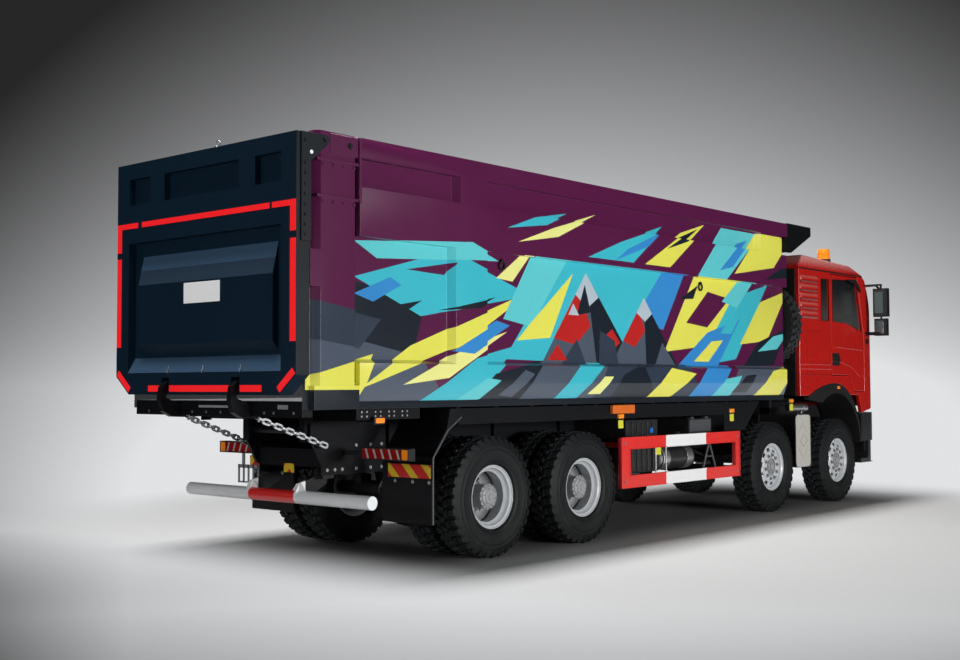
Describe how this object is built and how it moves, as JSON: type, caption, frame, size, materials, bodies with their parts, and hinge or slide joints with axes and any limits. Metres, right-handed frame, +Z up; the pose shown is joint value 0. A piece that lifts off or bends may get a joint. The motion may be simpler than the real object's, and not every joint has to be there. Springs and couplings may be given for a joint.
{
  "type": "eight-wheeled tipping dump truck",
  "caption": "Eight-wheeled dump truck with a forward-control cab, a high-sided tipping bed, a front telescopic hoist, a top-hinged tailgate and a spare wheel behind the cab.",
  "frame": {"origin": "centre of the bounding box on the ground plane", "axes": "+X points to the front of the truck, +Y to its left and +Z up"},
  "size_m": [11.062, 3.154, 3.688],
  "materials": {
    "chassis_paint": "semi-gloss black",
    "bed_paint": "gloss plum with shard graphics",
    "bed_frame_paint": "worn dark paint",
    "gate_paint": "gloss navy black",
    "cab_paint": "gloss red",
    "black_plastic": "textured",
    "rim_paint": "satin silver",
    "tyre": "matte",
    "glass": "tinted",
    "rod": "polished",
    "cast": "rough",
    "tank": "satin",
    "silencer_shield": "satin with warning chevrons",
    "guard_paint": "red and white stripes",
    "lamp": "clear gloss",
    "amber": "clear gloss",
    "trim": "woven"
  },
  "bodies": {
    "chassis": {"frame": "chassis_paint", "axles": "cast", "leaf_springs": "cast", "engine_block": "cast", "driveline": "cast", "side_guards": "guard_paint", "tanks": "tank", "silencer": "silencer_shield", "rear_bar": "chassis_paint", "lamps": "lamp", "mudguards": "chassis_paint", "bumper": "cab_paint", "spare_tyre": "tyre", "spare_carrier": "chassis_paint"},
    "cab": {"cab_roof": "cab_paint", "cab_rear": "cab_paint", "cab_sides": "cab_paint", "cab_front": "cab_paint", "cab_floor": "chassis_paint", "cab_glass": "glass", "wheel_arches": "black_plastic", "grille": "black_plastic", "mirrors": "black_plastic", "beacons": "amber", "cab_interior": "trim"},
    "bed": {"bed_floor": "bed_frame_paint", "bed_sides": "bed_paint", "bed_front": "bed_frame_paint", "gate_hooks": "bed_frame_paint", "chains": "bed_frame_paint"},
    "gate": {"tailgate": "gate_paint"},
    "door_right": {"door_right": "cab_paint", "door_glass_right": "glass"},
    "door_left": {"door_left": "cab_paint", "door_glass_left": "glass"},
    "steering_1_right": {"knuckle_1_right": "cast"},
    "wheel_1_right": {"rim_1_right": "rim_paint", "tyre_1_right": "tyre"},
    "steering_1_left": {"knuckle_1_left": "cast"},
    "wheel_1_left": {"rim_1_left": "rim_paint", "tyre_1_left": "tyre"},
    "steering_2_right": {"knuckle_2_right": "cast"},
    "wheel_2_right": {"rim_2_right": "rim_paint", "tyre_2_right": "tyre"},
    "steering_2_left": {"knuckle_2_left": "cast"},
    "wheel_2_left": {"rim_2_left": "rim_paint", "tyre_2_left": "tyre"},
    "wheel_3_right": {"rims_3_right": "rim_paint", "tyres_3_right": "tyre"},
    "wheel_3_left": {"rims_3_left": "rim_paint", "tyres_3_left": "tyre"},
    "wheel_4_right": {"rims_4_right": "rim_paint", "tyres_4_right": "tyre"},
    "wheel_4_left": {"rims_4_left": "rim_paint", "tyres_4_left": "tyre"},
    "hoist_barrel": {"hoist_barrel": "tank"},
    "hoist_stage_1": {"hoist_stage_1": "rod"},
    "hoist_stage_2": {"hoist_stage_2": "rod"},
    "hoist_stage_3": {"hoist_stage_3": "rod"},
    "hoist_stage_4": {"hoist_stage_4": "rod"}
  },
  "joints": [
    {"name": "bed_tip", "type": "hinge", "parent": "chassis", "child": "bed", "pos_m": [-4.569, 0, 1.2], "axis": [0, -1, 0], "range_deg": [0, 50]},
    {"name": "gate_swing", "type": "hinge", "parent": "bed", "child": "gate", "pos_m": [-5.179, 0, 3.57], "axis": [0, 1, 0], "range_deg": [0, 60]},
    {"name": "cab_tilt", "type": "hinge", "parent": "chassis", "child": "cab", "pos_m": [5.331, 0, 1.26], "axis": [0, 1, 0], "range_deg": [0, 50]},
    {"name": "door_right_swing", "type": "hinge", "parent": "cab", "child": "door_right", "pos_m": [4.989, -1.25, 2.3], "axis": [0, 0, 1], "range_deg": [0, 65]},
    {"name": "door_left_swing", "type": "hinge", "parent": "cab", "child": "door_left", "pos_m": [4.989, 1.25, 2.3], "axis": [0, 0, -1], "range_deg": [0, 65]},
    {"name": "steer_1_right", "type": "hinge", "parent": "chassis", "child": "steering_1_right", "pos_m": [4.199, -0.89, 0.5625], "axis": [0, 0, 1], "range_deg": [-32, 32]},
    {"name": "roll_1_right", "type": "hinge", "parent": "steering_1_right", "child": "wheel_1_right", "pos_m": [4.199, -1.067, 0.5625], "axis": [0, 1, 0], "continuous": true},
    {"name": "steer_1_left", "type": "hinge", "parent": "chassis", "child": "steering_1_left", "pos_m": [4.199, 0.89, 0.5625], "axis": [0, 0, 1], "range_deg": [-32, 32]},
    {"name": "roll_1_left", "type": "hinge", "parent": "steering_1_left", "child": "wheel_1_left", "pos_m": [4.199, 1.067, 0.5625], "axis": [0, 1, 0], "continuous": true},
    {"name": "steer_2_right", "type": "hinge", "parent": "chassis", "child": "steering_2_right", "pos_m": [2.353, -0.89, 0.5625], "axis": [0, 0, 1], "range_deg": [-22.5, 22.5]},
    {"name": "roll_2_right", "type": "hinge", "parent": "steering_2_right", "child": "wheel_2_right", "pos_m": [2.353, -1.067, 0.5625], "axis": [0, 1, 0], "continuous": true},
    {"name": "steer_2_left", "type": "hinge", "parent": "chassis", "child": "steering_2_left", "pos_m": [2.353, 0.89, 0.5625], "axis": [0, 0, 1], "range_deg": [-22.5, 22.5]},
    {"name": "roll_2_left", "type": "hinge", "parent": "steering_2_left", "child": "wheel_2_left", "pos_m": [2.353, 1.067, 0.5625], "axis": [0, 1, 0], "continuous": true},
    {"name": "roll_3_right", "type": "hinge", "parent": "chassis", "child": "wheel_3_right", "pos_m": [-1.658, -0.92, 0.5625], "axis": [0, 1, 0], "continuous": true},
    {"name": "roll_3_left", "type": "hinge", "parent": "chassis", "child": "wheel_3_left", "pos_m": [-1.658, 0.92, 0.5625], "axis": [0, 1, 0], "continuous": true},
    {"name": "roll_4_right", "type": "hinge", "parent": "chassis", "child": "wheel_4_right", "pos_m": [-3.069, -0.92, 0.5625], "axis": [0, 1, 0], "continuous": true},
    {"name": "roll_4_left", "type": "hinge", "parent": "chassis", "child": "wheel_4_left", "pos_m": [-3.069, 0.92, 0.5625], "axis": [0, 1, 0], "continuous": true},
    {"name": "hoist_lean", "type": "hinge", "parent": "chassis", "child": "hoist_barrel", "pos_m": [2.861, 0, 1], "axis": [0, -1, 0], "range_deg": [0, 30.7]},
    {"name": "hoist_slide_1", "type": "slide", "parent": "hoist_barrel", "child": "hoist_stage_1", "axis": [0, 0, 1], "range_m": [0, 1.526]},
    {"name": "hoist_slide_2", "type": "slide", "parent": "hoist_stage_1", "child": "hoist_stage_2", "axis": [0, 0, 1], "range_m": [0, 1.526]},
    {"name": "hoist_slide_3", "type": "slide", "parent": "hoist_stage_2", "child": "hoist_stage_3", "axis": [0, 0, 1], "range_m": [0, 1.526]},
    {"name": "hoist_slide_4", "type": "slide", "parent": "hoist_stage_3", "child": "hoist_stage_4", "axis": [0, 0, 1], "range_m": [0, 1.526]}
  ],
  "couplings": [
    {"joint": "steer_1_left", "follows": "steer_1_right", "ratio": 1},
    {"joint": "steer_2_right", "follows": "steer_1_right", "ratio": 0.7},
    {"joint": "steer_2_left", "follows": "steer_1_right", "ratio": 0.7},
    {"joint": "hoist_lean", "follows": "bed_tip", "ratio": 0.612},
    {"joint": "hoist_slide_1", "follows": "bed_tip", "m_per_rad": 1.7475},
    {"joint": "hoist_slide_2", "follows": "bed_tip", "m_per_rad": 1.7475},
    {"joint": "hoist_slide_3", "follows": "bed_tip", "m_per_rad": 1.7475},
    {"joint": "hoist_slide_4", "follows": "bed_tip", "m_per_rad": 1.7475}
  ]
}
